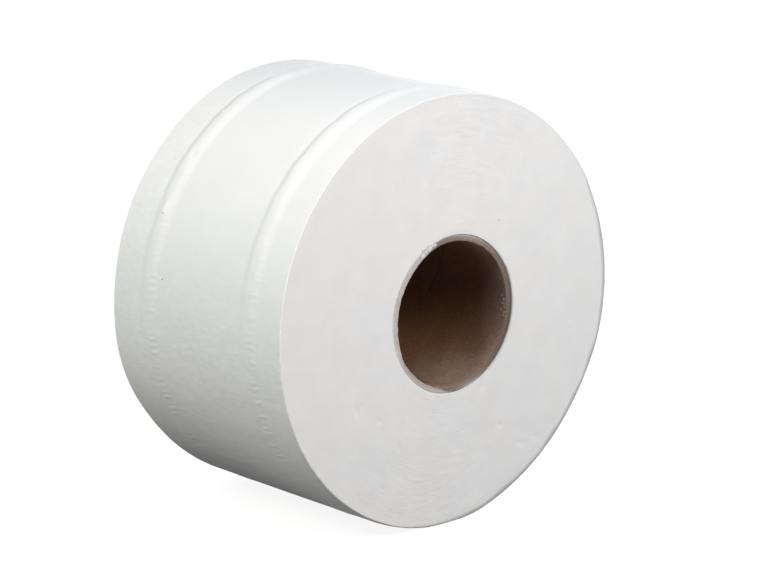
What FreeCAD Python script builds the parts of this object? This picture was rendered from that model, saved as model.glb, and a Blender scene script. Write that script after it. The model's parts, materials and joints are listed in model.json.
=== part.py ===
import FreeCAD, Part
import math
import os
from collections import namedtuple

from FreeCAD import Vector

# Wound paper, in millimetres
roll_width = 104.0  # end face to end face
roll_radius = 89.0  # to the smooth part of the outer turn
edge_bevel = 1.4  # where the outer turns meet an end face
rest_flat_width = 20.0  # the spot that the roll's own weight presses flat

# Two raised bands, where the embossed strips of each turn build up
ridge_inset = 21.0  # end face to crest
ridge_width = 11.5  # at its foot
ridge_top_width = 5.0
ridge_height = 1.1

# The side that storage has pressed in
press_from_floor = 42.0  # degrees round from straight down, towards +X
press_width = 90.0  # across the pressed side
press_depth = 1.6
press_corner_radius = 60.0  # where the pressed side runs into the round

# The loose end of the paper
tail_above_level = 28.0  # degrees above the axis, towards +X
tail_run = 50.0  # degrees over which its step fades into the turn below
tail_step = 0.3

# Turns that stand out on the end faces, as one spiral line
turn_pitch = 7.0
turn_line_width = 1.1
turn_line_depth = 0.35
turn_inner_gap = 4.0  # from the core
turn_outer_gap = 5.5  # from the pressed side

# Cardboard core
core_bore_radius = 30.0
core_wall = 2.5
core_shift_x = 2.3  # the roll has sagged off centre
core_shift_z = -0.9

# Worked out from the sizes above
core_radius = core_bore_radius + core_wall
half_width = roll_width / 2
axis_height = math.sqrt(roll_radius**2 - (rest_flat_width / 2) ** 2)
axis = Vector(0, 0, axis_height)
core_shift = Vector(core_shift_x, 0, core_shift_z)
press_angle = 270 + press_from_floor
rim_depth = 2 * (press_depth + edge_bevel)  # the shaped outer windings
inner_radius = roll_radius - rim_depth + edge_bevel  # the plain windings inside them
room = 2 * roll_radius  # more than any cut needs

turning_axis = Vector(0, -1, 0)  # turns +X towards +Z
Arc = namedtuple("Arc", "centre radius start sweep")


def direction(angle):
    """Unit vector in the roll's cross-section, turned by angle from +X towards +Z."""
    return Vector(math.cos(math.radians(angle)), 0, math.sin(math.radians(angle)))


def angle_opposite(side, other, opposite):
    """Angle in degrees between two sides of a triangle, facing the third."""
    return math.degrees(math.acos((side**2 + other**2 - opposite**2) / (2 * side * other)))


def turned(profile, arc):
    """Solid made by turning a profile, drawn as radius along X and width along Y, round an arc."""
    solid = Part.Face(profile).revolve(Vector(), turning_axis, arc.sweep)
    solid.rotate(Vector(), turning_axis, arc.start)
    solid.translate(arc.centre)
    return solid


def outline():
    """The cross-section's outer arcs: the round, the tail's lift and the pressed side."""
    half_press = press_width / 2
    sagitta = roll_radius - math.sqrt(roll_radius**2 - half_press**2) - press_depth
    press_radius = (half_press**2 + sagitta**2) / (2 * sagitta)
    reach = press_radius - roll_radius + press_depth
    press_centre = axis - reach * direction(press_angle)

    to_corner = roll_radius - press_corner_radius
    across = press_radius - press_corner_radius
    round_turn = 180 - angle_opposite(reach, to_corner, across)
    press_turn = angle_opposite(reach, across, to_corner)
    corner_turn = round_turn - press_turn
    low_corner = axis + to_corner * direction(press_angle - round_turn)
    high_corner = axis + to_corner * direction(press_angle + round_turn)

    tail_grow = tail_step / (1 - math.cos(math.radians(tail_run)))
    tail_end = tail_above_level + tail_run
    tail_centre = axis - tail_grow * direction(tail_end)
    round_start = press_angle + round_turn - 360
    round_end = press_angle - round_turn

    return [
        Arc(axis, roll_radius, round_start, tail_above_level - round_start),
        Arc(tail_centre, roll_radius + tail_grow, tail_above_level, tail_run),
        Arc(axis, roll_radius, tail_end, round_end - tail_end),
        Arc(low_corner, press_corner_radius, round_end, corner_turn),
        Arc(press_centre, press_radius, press_angle - press_turn, 2 * press_turn),
        Arc(high_corner, press_corner_radius, press_angle + press_turn, corner_turn),
    ]


def ridge(radius, crest_y):
    """Corners of one raised band: its foot, its flat top and its other foot."""
    return [
        Vector(radius, crest_y - ridge_width / 2, 0),
        Vector(radius + ridge_height, crest_y - ridge_top_width / 2, 0),
        Vector(radius + ridge_height, crest_y + ridge_top_width / 2, 0),
        Vector(radius, crest_y + ridge_width / 2, 0),
    ]


def rim_profile(radius):
    """Section through the outer windings, from one end face to the other."""
    crest_y = half_width - ridge_inset
    corners = [
        Vector(radius - rim_depth, -half_width, 0),
        Vector(radius - edge_bevel, -half_width, 0),
        Vector(radius, edge_bevel - half_width, 0),
        *ridge(radius, -crest_y),
        *ridge(radius, crest_y),
        Vector(radius, half_width - edge_bevel, 0),
        Vector(radius - edge_bevel, half_width, 0),
        Vector(radius - rim_depth, half_width, 0),
    ]
    return Part.makePolygon(corners, True)


def cylinder(centre, radius):
    """A cylinder from end face to end face."""
    return Part.makeCylinder(radius, roll_width, centre - Vector(0, half_width, 0), Vector(0, 1, 0))


def turn_line(side):
    """The spiral line of an end face, as V-shaped half turns that meet on the line between the centres."""
    shift_angle = math.degrees(math.atan2(core_shift.z, core_shift.x))
    first = core_radius + turn_inner_gap
    last = roll_radius - press_depth - turn_outer_gap
    half_turns = int((last - first) / (turn_pitch / 2))

    def crossing(number):
        """Place along the line between the centres where a half turn ends."""
        radius = first + number * turn_pitch / 2
        eased_shift = core_shift.Length * (roll_radius - radius) / (roll_radius - core_radius)
        return eased_shift + radius * (-1) ** number

    face_y = side * half_width
    line = []
    for number in range(half_turns):
        radius = abs(crossing(number) - crossing(number + 1)) / 2
        middle = (crossing(number) + crossing(number + 1)) / 2
        corners = [
            Vector(radius - turn_line_width / 2, face_y, 0),
            Vector(radius, face_y - side * turn_line_depth, 0),
            Vector(radius + turn_line_width / 2, face_y, 0),
        ]
        start = shift_angle + 180 * (number + 1)
        arc = Arc(axis + middle * direction(shift_angle), radius, start, 180)
        line.append(turned(Part.makePolygon(corners, True), arc))
    return line


def paper_roll():
    """All turns of paper as one body, open where the core goes through."""
    rims = [turned(rim_profile(arc.radius), arc) for arc in outline()]
    roll = cylinder(axis, inner_radius).fuse(rims).removeSplitter()
    above_floor = Part.makeBox(2 * room, 2 * room, 2 * room, Vector(-room, -room, 0))
    roll = roll.common(above_floor)
    roll = roll.cut([cylinder(axis + core_shift, core_radius), *turn_line(-1), *turn_line(1)])
    return roll.removeSplitter().Solids[0]


def cardboard_core():
    """The tube that the paper is wound on, cut off flush with it."""
    centre = axis + core_shift
    return cylinder(centre, core_radius).cut(cylinder(centre, core_bore_radius))


os.makedirs("parts", exist_ok=True)
for name, piece in {"paper_roll": paper_roll(), "cardboard_core": cardboard_core()}.items():
    piece.exportStep(f"parts/{name}.step")
    print(name, piece.isValid(), len(piece.Solids), round(piece.Volume), piece.BoundBox)
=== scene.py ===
"""A wide toilet tissue roll lying on its side on its own flat spot, wound on an open cardboard core."""
import json
import logging
import math
from dataclasses import dataclass, field
from enum import Enum
from typing import Any

import bpy
import numpy as np
from mathutils import Matrix, Vector


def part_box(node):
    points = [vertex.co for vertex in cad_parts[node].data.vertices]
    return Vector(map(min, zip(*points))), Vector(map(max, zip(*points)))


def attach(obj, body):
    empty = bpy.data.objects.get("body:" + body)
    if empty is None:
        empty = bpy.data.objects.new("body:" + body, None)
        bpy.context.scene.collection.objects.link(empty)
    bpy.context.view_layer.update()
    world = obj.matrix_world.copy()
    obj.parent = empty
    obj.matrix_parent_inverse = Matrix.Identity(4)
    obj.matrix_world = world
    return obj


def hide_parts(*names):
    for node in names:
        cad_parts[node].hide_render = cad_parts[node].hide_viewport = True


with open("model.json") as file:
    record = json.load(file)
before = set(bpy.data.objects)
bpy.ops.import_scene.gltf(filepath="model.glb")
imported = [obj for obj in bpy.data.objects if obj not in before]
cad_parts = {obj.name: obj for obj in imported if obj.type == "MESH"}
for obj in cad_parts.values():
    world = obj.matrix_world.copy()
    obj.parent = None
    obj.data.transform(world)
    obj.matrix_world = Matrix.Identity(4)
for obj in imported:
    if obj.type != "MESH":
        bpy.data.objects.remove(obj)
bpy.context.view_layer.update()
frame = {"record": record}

Array = np.ndarray
MM = 0.001
WHOLE_TURN = 360.0
ROLL_RADIUS = 89 * MM  # to the smooth part of the outermost sheet
CORE_FIT = 0.05 * MM  # either side of where the paper meets the core
FINE_COLUMNS = 3  # for each plain column, where small bars need them

log = logging.getLogger("tissue_roll")


class End(Enum):
    """The two end faces, by the sign of their place along the roll's axis."""

    FRONT = -1
    BACK = 1


class Finish(Enum):
    """Which finish a face of a mesh takes, as the number of its material slot."""

    SKIN = 0
    CUT = 1


def ease(share: Array) -> Array:
    """Rises smoothly from 0 to 1 as the share goes from 0 to 1."""
    share = np.clip(share, 0.0, 1.0)
    return share * share * (3.0 - 2.0 * share)


def bell(distance: Array, reach: float) -> Array:
    """A bump of height 1 that dies away within about two reaches."""
    return np.exp(-((distance / reach) ** 2))


def turn_from(start: float, angle: Array) -> Array:
    """Signed turn in degrees from a start angle to others, from -180 to 180."""
    return (angle - start + WHOLE_TURN / 2) % WHOLE_TURN - WHOLE_TURN / 2


def polar(centre: tuple[float, float], radius: Array, angle: Array, y: Array) -> Array:
    """Points at a radius and an angle round a line that runs along Y.

    Args:
        centre: The line's x and z.
        radius: Distance from the line.
        angle: Degrees from +X towards +Z.
        y: Place along the line.

    Returns:
        Points, with x, y and z on the last axis.
    """
    radius, angle, y = np.broadcast_arrays(radius, angle, y)
    x = centre[0] + radius * np.cos(np.radians(angle))
    z = centre[1] + radius * np.sin(np.radians(angle))
    return np.stack([x, y, z], axis=-1)


@dataclass(frozen=True)
class Ripples:
    """Uneven waves that close on themselves round the roll.

    Attributes:
        seed: Start of the random draws.
        crests: Fewest and most crests round the roll.
        across: Most crests per metre along the axis.
        height: About how far they reach either way.
        waves: How many waves are laid over each other.
    """

    seed: int
    crests: tuple[int, int]
    across: float = 0.0
    height: float = 1.0
    waves: int = 16

    def at(self, angle: Array, y: Array | float = 0.0) -> Array:
        """Height of the waves.

        Args:
            angle: Degrees round the roll.
            y: Metres along the axis.

        Returns:
            Heights, above and below 0.
        """
        draw = np.random.default_rng(self.seed)
        waves = np.zeros(np.broadcast(angle, y).shape)
        for _ in range(self.waves):
            crests = int(draw.integers(self.crests[0], self.crests[1] + 1))
            slant = draw.uniform(-self.across, self.across)
            phase = draw.uniform(0.0, math.tau)
            waves += np.cos(np.radians(crests * angle) + math.tau * slant * y + phase)
        return self.height / math.sqrt(self.waves) * waves


@dataclass(frozen=True)
class Swell:
    """Something that is strongest at one angle round the roll, and dies away on both sides of it.

    Attributes:
        angle: Degrees where it is strongest.
        reach: Degrees over which it dies away.
        height: Its height there.
    """

    angle: float
    reach: float
    height: float = 1.0

    def at(self, angle: Array) -> Array:
        """Its height at an angle."""
        return self.height * bell(turn_from(self.angle, angle), self.reach)


class Skin:
    """Points and faces of one mesh, gathered row by row, with marks on the points for the materials."""

    def __init__(self, *marks: str) -> None:
        """Starts an empty skin whose points carry the named marks."""
        self.points: list[Array] = []
        self.marks: dict[str, list[Array]] = {name: [] for name in marks}
        self.faces: list[tuple[int, ...]] = []
        self.finishes: list[int] = []
        self.count = 0

    def add(self, points: Array, **marks: Array | float) -> Array:
        """Adds points.

        Args:
            points: Points, with x, y and z on the last axis.
            **marks: Values for the points' marks. Marks that aren't given are 0.

        Returns:
            The new points' numbers, in the layout that the points have.
        """
        shape = points.shape[:-1]
        numbers = self.count + np.arange(math.prod(shape)).reshape(shape)
        self.points.append(points.reshape(-1, 3))
        for name, values in self.marks.items():
            values.append(np.broadcast_to(marks.get(name, 0.0), shape).reshape(-1))
        self.count += numbers.size
        return numbers

    def add_faces(self, corners: Array, finish: Finish) -> None:
        """Adds faces, and leaves out a corner that comes twice, or a face that then has no area.

        Args:
            corners: Point numbers, one face a row.
            finish: The finish that the faces take.
        """
        for face in corners.tolist():
            kept = tuple(dict.fromkeys(face))
            if len(kept) > 2:
                self.faces.append(kept)
                self.finishes.append(finish.value)

    def band(self, low: Array, high: Array, finish: Finish, closed: bool = True) -> None:
        """Joins two rows of points that match one to one.

        Args:
            low: The first row's point numbers.
            high: The second row's point numbers.
            finish: The finish that the faces take.
            closed: Whether the rows run all the way round.
        """
        if closed:
            low, high = np.append(low, low[:1]), np.append(high, high[:1])
        self.add_faces(np.stack([low[:-1], low[1:], high[1:], high[:-1]], axis=1), finish)

    def sheet(self, rows: list[Array], finish: Finish, flip: bool = False, closed: bool = True) -> None:
        """Joins each row of points to the next.

        Args:
            rows: The rows' point numbers.
            finish: The finish that the faces take.
            flip: Whether the faces look the other way.
            closed: Whether the rows run all the way round.
        """
        for low, high in zip(rows, rows[1:]):
            if flip:
                low, high = high, low
            self.band(low, high, finish, closed)

    def step_band(self, coarse: Array, fine: Array, finish: Finish, flip: bool) -> None:
        """Joins a coarse closed row to a fine one that has three points for each of its points.

        Args:
            coarse: The coarse row's point numbers.
            fine: The fine row's point numbers.
            finish: The finish that the faces take.
            flip: Whether the fine row comes first, which turns the faces over.
        """
        a, b = coarse, np.roll(coarse, -1)
        f = [np.roll(fine, -shift)[::FINE_COLUMNS] for shift in range(FINE_COLUMNS + 1)]
        for points in ((a, f[1], f[0]), (a, b, f[2], f[1]), (b, f[3], f[2])):
            corners = np.stack(points, axis=1)
            self.add_faces(corners[:, ::-1] if flip else corners, finish)

    def add_lump(
        self, place: Array, half_sizes: Array, turn: float, seed: int, finish: Finish, **marks: float
    ) -> None:
        """Adds a small closed, crumpled lump.

        Args:
            place: Its middle.
            half_sizes: Half its size along its own x, along the axis and along its own z.
            turn: Degrees that its own x is turned from +X towards +Z.
            seed: Start of the random draws that crumple it.
            finish: The finish that its faces take.
            **marks: Values for its points' marks.
        """
        rings, count = 6, 10
        around = WHOLE_TURN / count * np.arange(count)
        draw = np.random.default_rng(seed)
        along = Vector((math.cos(math.radians(turn)), 0.0, math.sin(math.radians(turn))))
        across = Vector((-along.z, 0.0, along.x))
        frame_axes = np.array([along, (0.0, 1.0, 0.0), across])
        rows = []
        for ring in range(rings + 1):
            tilt = math.pi * ring / rings
            crumple = draw.uniform(0.7, 1.15, count) if 0 < ring < rings else np.ones(count)
            shape = np.stack([
                np.sin(tilt) * np.cos(np.radians(around)) * crumple,
                np.sin(tilt) * np.sin(np.radians(around)) * crumple,
                np.full(count, np.cos(tilt)),
            ], axis=1)
            points = place + (shape * half_sizes) @ frame_axes
            if ring in (0, rings):
                rows.append(np.repeat(self.add(points[:1], **marks), count))
            else:
                rows.append(self.add(points, **marks))
        self.sheet(rows, finish)

    def build(self, name: str, materials: list[bpy.types.Material]) -> bpy.types.Object:
        """Makes the mesh object.

        Args:
            name: The piece's name.
            materials: One material for each finish, in the order of their numbers.

        Returns:
            The object, linked to the scene, with smooth faces.
        """
        mesh = bpy.data.meshes.new(name)
        mesh.from_pydata(np.concatenate(self.points).tolist(), [], self.faces)
        for material in materials:
            mesh.materials.append(material)
        mesh.polygons.foreach_set("material_index", self.finishes)
        mesh.polygons.foreach_set("use_smooth", [True] * len(self.faces))
        for mark, values in self.marks.items():
            attribute = mesh.attributes.new(mark, "FLOAT", "POINT")
            attribute.data.foreach_set("value", np.concatenate(values).astype(np.float32))
        mesh.update()
        piece = bpy.data.objects.new(name, mesh)
        bpy.context.scene.collection.objects.link(piece)
        return piece


@dataclass(frozen=True)
class Outline:
    """The roll's cross-section: its round, the pressed side and the loose end of the sheet.

    Angles are degrees round the roll's axis, from +X towards +Z.
    """

    radius: float
    rest_flat: float = 20 * MM
    press_angle: float = 312.0
    press_width: float = 90 * MM
    press_depth: float = 1.6 * MM
    press_corner: float = 60 * MM
    tail_angle: float = 28.0
    tail_run: float = 50.0
    tail_step: float = 0.3 * MM
    floor_ease: float = 0.12 * MM

    @property
    def axis(self) -> tuple[float, float]:
        """The axis's x and z, so high that the flat spot is as wide as it says."""
        return 0.0, math.sqrt(self.radius**2 - (self.rest_flat / 2) ** 2)

    def _circle_reach(self, centre: tuple[float, float], radius: float, angle: Array) -> Array:
        """Distance from the axis to a circle about another centre.

        Args:
            centre: The circle's centre, as its distance from the axis and its angle.
            radius: The circle's radius.
            angle: Degrees round the axis.

        Returns:
            Distance along each angle to the circle's far side.
        """
        along = centre[0] * np.cos(np.radians(angle - centre[1]))
        return along + np.sqrt(along**2 + radius**2 - centre[0] ** 2)

    def reach(self, angle: Array) -> Array:
        """Distance from the axis to the outermost turn.

        Args:
            angle: Degrees round the axis.

        Returns:
            Distance along each angle, in metres.
        """
        half = self.press_width / 2
        sagitta = self.radius - math.sqrt(self.radius**2 - half**2) - self.press_depth
        press_radius = (half**2 + sagitta**2) / (2 * sagitta)
        back = press_radius - self.radius + self.press_depth
        to_corner = self.radius - self.press_corner
        across = press_radius - self.press_corner
        corner_cosine = (back**2 + to_corner**2 - across**2) / (2 * back * to_corner)
        corner_turn = 180.0 - math.degrees(math.acos(corner_cosine))
        press_turn = math.asin(to_corner * math.sin(math.radians(corner_turn)) / across)
        meeting = math.atan2(press_radius * math.sin(press_turn), press_radius * math.cos(press_turn) - back)

        off = np.abs(turn_from(self.press_angle, angle))
        pressed = self._circle_reach((-back, 0.0), press_radius, off)
        corner = self._circle_reach((to_corner, corner_turn), self.press_corner, off)
        beside = np.where(off < corner_turn, corner, self.radius)
        reach = np.where(off < math.degrees(meeting), pressed, beside)

        past_tail = (angle - self.tail_angle) % WHOLE_TURN / self.tail_run
        return reach + self.tail_step * (1.0 - ease(past_tail))

    def on_floor(self, points: Array) -> Array:
        """Presses the points that would lie below the floor flat on it.

        Args:
            points: Points, with x, y and z on the last axis.

        Returns:
            The points, none below the floor.
        """
        pressed = points.copy()
        z = pressed[..., 2]
        pressed[..., 2] = (z + np.sqrt(z**2 + self.floor_ease**2)) / 2
        return pressed


@dataclass(frozen=True)
class Blemish:
    """A small dent, or a small rise, longer one way than the other.

    Attributes:
        angle: Degrees round the roll's axis.
        place: Metres along the axis on the side, or from the axis on an end face.
        length: Its reach along its long way.
        width: Its reach across that.
        slant: Degrees that its long way is turned from the way round the roll.
        height: How far it rises, below 0 for a dent.
    """

    angle: float
    place: float
    length: float
    width: float
    slant: float
    height: float

    def at(self, angle: Array, place: Array, radius: Array | float) -> Array:
        """Its height.

        Args:
            angle: Degrees round the roll's axis.
            place: Place in the sense of the blemish's own.
            radius: Distance from the axis, which turns degrees into metres.

        Returns:
            Height in metres.
        """
        around = np.radians(turn_from(self.angle, angle)) * radius
        off = place - self.place
        turn = math.radians(self.slant)
        along = around * math.cos(turn) + off * math.sin(turn)
        across = off * math.cos(turn) - around * math.sin(turn)
        return self.height * bell(along, self.length) * bell(across, self.width)


@dataclass(frozen=True)
class Rim:
    """How the side turns into an end face, at each angle round the roll.

    It is a tight corner on top and on the left, a soft round low on the left, and slopes back on the
    right, where the outer turns hang loose.
    """

    rows: int = 6
    support: float = 0.15 * MM
    corner: float = 0.3 * MM
    soft: Swell = Swell(232.0, 28.0)
    soft_length: float = 3.2 * MM
    soft_inset: float = 0.6 * MM
    slope_angle: float = 330.0
    slope_start: float = 42.0
    slope_end: float = 82.0
    slope_length: float = 0.6 * MM
    slope_inset: float = 2.3 * MM
    shade_at_side: float = 0.6
    shade_lost: float = 0.6
    unevenness: Ripples = Ripples(33, (4, 32), height=0.12)
    uneven_limits: tuple[float, float] = (0.4, 1.6)

    @property
    def longest(self) -> float:
        """The most that it takes of the side."""
        return self.corner + self.soft_length + self.slope_length + self.support

    def slope(self, angle: Array) -> Array:
        """Share of the slope that the rim has at an angle."""
        off = np.abs(turn_from(self.slope_angle, angle))
        return 1.0 - ease((off - self.slope_start) / (self.slope_end - self.slope_start))

    def steps(self, angle: Array) -> list[tuple[Array, Array, Array]]:
        """Its rows, from the side to the end face.

        Args:
            angle: Degrees round the roll, one for each column.

        Returns:
            Distances from the end face, insets from the outermost sheet and shares of shade, for each row.
        """
        soft, slope = self.soft.at(angle), self.slope(angle)
        uneven = np.clip(1.0 + self.unevenness.at(angle), *self.uneven_limits)
        length = self.corner + self.soft_length * soft + self.slope_length * slope
        inset = (self.corner + self.soft_inset * soft + self.slope_inset * slope) * uneven
        steps = [(length + self.support, 0 * angle, self.shade_at_side * slope)]
        for quarter in np.linspace(0.0, math.pi / 2, self.rows):
            hollow = self.shade_at_side + (1.0 - self.shade_at_side) * math.sin(2 * quarter)
            shade = slope * hollow * (1.0 - self.shade_lost * (2 * quarter / math.pi) ** 4)
            steps.append((length * (1.0 - math.sin(quarter)), inset * (1.0 - math.cos(quarter)), shade))
        steps.append((0 * angle, inset + self.support, 0 * angle))
        return steps


@dataclass(frozen=True)
class EmbossedBand:
    """One raised band, where the embossed strips of all the turns build up.

    Its front slope is broad and soft and has short bars across it, and a crease runs along the foot of
    its back slope. It stands proud on top, and the roll's weight and handling have pressed it down below.
    """

    crest_y: float
    height: float = 0.8 * MM
    unevenness: float = 0.08
    wander: float = 0.3 * MM
    front_foot: float = -7.4 * MM
    front_top: float = -1.4 * MM
    back_top: float = 0.4 * MM
    back_foot: float = 4.4 * MM
    proud_angle: float = 85.0
    proud_turn: float = 35.0
    worn_turn: float = 130.0
    worn_share: float = 0.12
    crease: float = 0.16 * MM
    crease_place: float = 3.74 * MM
    crease_width: float = 1.5 * MM
    crease_worn: float = 0.6
    bar_count: int = 192
    bar_height: float = 0.17 * MM
    bar_start: float = -6.2 * MM
    bar_end: float = -1.6 * MM
    bar_fade: float = 0.9 * MM
    bar_slant: float = 3.2 * MM
    bar_stagger: float = 0.6 * MM
    bar_jitter: float = 0.8
    bar_sharpness: float = 1.5
    bar_least: float = 0.15
    bars_clear: Swell = Swell(198.0, 34.0, 0.85)
    seed: int = 3

    def standing(self, angle: Array) -> Array:
        """Share of the band's height that is left at an angle: all on top, little at the bottom."""
        off_top = np.abs(turn_from(self.proud_angle, angle))
        worn = ease((off_top - self.proud_turn) / (self.worn_turn - self.proud_turn))
        return 1.0 - (1.0 - self.worn_share) * worn

    def height_at(self, angle: Array, y: Array) -> Array:
        """How far the band stands out of the smooth paper.

        Args:
            angle: Degrees round the roll.
            y: Metres along the axis.

        Returns:
            Height in metres.
        """
        place = y - self.crest_y + Ripples(self.seed, (5, 60), 12.0, self.wander).at(angle, y)
        rise = ease((place - self.front_foot) / (self.front_top - self.front_foot))
        fall = 1.0 - ease((place - self.back_top) / (self.back_foot - self.back_top))
        uneven = 1.0 + Ripples(self.seed + 1, (3, 40), height=self.unevenness).at(angle)
        standing = self.standing(angle)
        left = self.crease_worn + (1.0 - self.crease_worn) * standing
        crease = self.crease * left * bell(place - self.crease_place, self.crease_width)
        return self.height * standing * uneven * rise * fall - crease + self.bars(angle, place)

    def bars(self, angle: Array, place: Array) -> Array:
        """The short bars that the plies are pressed together with, clearest where the band is worn low.

        Args:
            angle: Degrees round the roll.
            place: Metres along the axis from the crest.

        Returns:
            Height in metres.
        """
        uneven = Ripples(self.seed + 2, (20, 90)).at(angle)
        clear = (self.bar_least + self.bars_clear.at(angle)) * np.clip(0.7 + 0.5 * uneven, 0.0, 1.4)
        turn = np.radians(angle * self.bar_count) + self.bar_jitter * uneven - place / self.bar_slant
        wave = (0.5 + 0.5 * np.cos(turn)) ** self.bar_sharpness
        starts = ease((place - self.bar_start + self.bar_stagger * uneven) / self.bar_fade)
        ends = 1.0 - ease((place - self.bar_end + self.bar_fade) / self.bar_fade)
        return self.bar_height * clear * wave * starts * ends


@dataclass
class PaperRoll:
    """All the turns of tissue, from the core to the outermost sheet."""

    outline: Outline
    half_width: float
    core_centre: tuple[float, float]
    core_radius: float
    rim: Rim = Rim()

    # Rows and columns of points
    columns: int = 384
    plain_step: float = 2.5 * MM
    band_step: float = 0.65 * MM
    turns: int = 18
    turn_rows: int = 3
    tail_column: float = 0.05

    # The side
    end_sink: float = 0.14 * MM
    side_sink: float = 0.1 * MM
    band_from_end: float = 21 * MM
    before_band: float = 0.5 * MM
    past_band: float = 1.5 * MM
    soft_waves: Ripples = Ripples(21, (2, 9), 9.0, 0.08 * MM)
    small_waves: Ripples = Ripples(22, (20, 70), 22.0, 0.02 * MM)
    tear: Ripples = Ripples(31, (0, 0), 45.0, 0.3)
    tear_reach: float = 7.0
    slack: tuple[Swell, ...] = (Swell(5.0, 34.0, 1.2 * MM), Swell(312.0, 20.0, 0.45 * MM))
    bulge: Swell = Swell(197.0, 15.0, 1.2 * MM)
    bulge_from: float = -0.1
    drawn_in: Swell = Swell(184.0, 34.0, 1.0 * MM)
    drawn_in_from: float = -34 * MM
    drawn_in_run: float = 30 * MM
    side_marks: tuple[Blemish, ...] = (
        Blemish(152.4, 30.0 * MM, 2.6 * MM, 1.1 * MM, 10.0, 0.5 * MM),
        Blemish(151.5, 32.0 * MM, 2.4 * MM, 0.9 * MM, 0.0, -0.25 * MM),
        Blemish(136.3, 28.8 * MM, 2.2 * MM, 1.3 * MM, 0.0, -0.35 * MM),
        Blemish(138.8, 40.4 * MM, 6.0 * MM, 1.5 * MM, 45.0, -0.15 * MM),
        Blemish(146.0, 34.5 * MM, 4.0 * MM, 1.2 * MM, 20.0, -0.12 * MM),
    )

    # Where the crepe's wrinkles show
    lit_angle: float = 60.0
    crepe_turn: float = 85.0
    crepe_run: float = 55.0
    crepe_least: float = 0.12
    crepe_at_back: float = 0.8
    crepe_back_from: float = 33 * MM
    crepe_back_run: float = 5 * MM

    # The end faces
    hollows: Ripples = Ripples(51, (1, 5), height=0.05 * MM)
    hollow_twist: float = 9.0
    turn_edges: Ripples = Ripples(52, (5, 30), height=0.02 * MM)
    turn_twist: float = 47.0
    most_lift: float = 0.1 * MM
    flat_turns: float = 0.7
    ruffle_least: float = 0.25
    ruffles: tuple[Swell, Swell] = (Swell(262.0, 32.0, 0.75), Swell(82.0, 26.0, 0.75))
    face_marks: tuple[Blemish, ...] = (
        Blemish(212.7, 58.4 * MM, 2.2 * MM, 0.8 * MM, 15.0, -0.5 * MM),
        Blemish(213.5, 55.4 * MM, 1.8 * MM, 0.8 * MM, 10.0, -0.4 * MM),
        Blemish(225.3, 53.2 * MM, 1.2 * MM, 0.8 * MM, -30.0, -0.4 * MM),
        Blemish(242.3, 57.9 * MM, 1.1 * MM, 0.8 * MM, 40.0, -0.35 * MM),
        Blemish(298.8, 38.6 * MM, 2.6 * MM, 0.8 * MM, -50.0, -0.4 * MM),
        Blemish(299.0, 60.0 * MM, 1.6 * MM, 0.8 * MM, 60.0, -0.35 * MM),
        Blemish(304.0, 76.0 * MM, 3.4 * MM, 0.8 * MM, 55.0, -0.35 * MM),
        Blemish(309.0, 79.0 * MM, 2.4 * MM, 0.8 * MM, 70.0, -0.3 * MM),
        Blemish(33.0, 68.0 * MM, 4.0 * MM, 1.0 * MM, 65.0, -0.14 * MM),
        Blemish(345.0, 72.0 * MM, 5.0 * MM, 1.0 * MM, 60.0, -0.14 * MM),
    )

    # The first turn, where it meets the core
    gap: float = 0.12 * MM
    open_gap: float = 0.5 * MM
    gaping: Swell = Swell(350.0, 58.0)
    closed: Swell = Swell(165.0, 60.0, 0.5 * MM)
    gap_shade: float = 0.7
    gap_turns: float = 0.4
    fray_length: float = 0.6 * MM
    fray_least: float = 0.04
    front_fray: Swell = Swell(115.0, 11.0, 0.96)
    back_fray: Swell = Swell(40.0, 11.0, 0.96)
    lip_depth: float = 0.7 * MM
    wall_below_lip: float = 0.1 * MM

    # Loose bits
    crumbs: int = 12
    crumb_start: float = 108.0
    crumb_turn: float = 15.0
    least_crumb: tuple[float, float, float] = (0.7, 0.12, 0.4)
    most_crumb: tuple[float, float, float] = (1.5, 0.15, 0.9)
    edge_lint: int = 12
    back_lint: int = 16
    lint_shape: tuple[float, float, float] = (0.35, 1.3, 0.9)
    face_speck: tuple[float, float] = (51.1, 43.8 * MM)
    face_speck_shape: tuple[float, float, float] = (0.35, 0.1, 0.35)
    bands: list[EmbossedBand] = field(init=False)
    skin: Skin = field(init=False)

    def __post_init__(self) -> None:
        """Places a band at the same distance from each end, and starts the skin."""
        crest = self.half_width - self.band_from_end
        self.bands = [EmbossedBand(-crest), EmbossedBand(crest, seed=11)]
        self.skin = Skin("turns", "crepe", "ruffle", "speck", "shade")

    @property
    def face_y(self) -> float:
        """Distance of the end faces from the roll's middle."""
        return self.half_width - self.end_sink

    def column_angles(self, per_column: int = 1) -> Array:
        """Angles of the columns, from the loose end of the sheet round to just before it.

        Args:
            per_column: How many fine columns stand for each plain one.

        Returns:
            Degrees round the roll.
        """
        step = WHOLE_TURN / self.columns
        plain = self.outline.tail_angle + step * np.arange(self.columns + 1)
        plain[-2] = plain[-1] - self.tail_column * step
        fine = np.arange(self.columns * per_column) / per_column
        return np.interp(fine, np.arange(self.columns + 1), plain)

    def relief(self, angle: Array, y: Array | float) -> Array:
        """How far the outermost sheet stands out from the outline, with all that has happened to it.

        Args:
            angle: Degrees round the roll.
            y: Metres along the axis.

        Returns:
            Height in metres.
        """
        bands = sum(band.height_at(angle, y) for band in self.bands)
        waves = self.soft_waves.at(angle, y) + self.small_waves.at(angle, y)
        slack = sum(swell.at(angle) for swell in self.slack)
        bulge = self.bulge.at(angle) * ease((y / self.half_width - self.bulge_from) / (1.0 - self.bulge_from))
        drawn_in = self.drawn_in.at(angle) * ease((self.drawn_in_from - y) / self.drawn_in_run)
        marks = sum(mark.at(angle, y, self.outline.radius) for mark in self.side_marks)
        return bands + waves + slack + bulge - drawn_in + marks - self.side_sink

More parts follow.
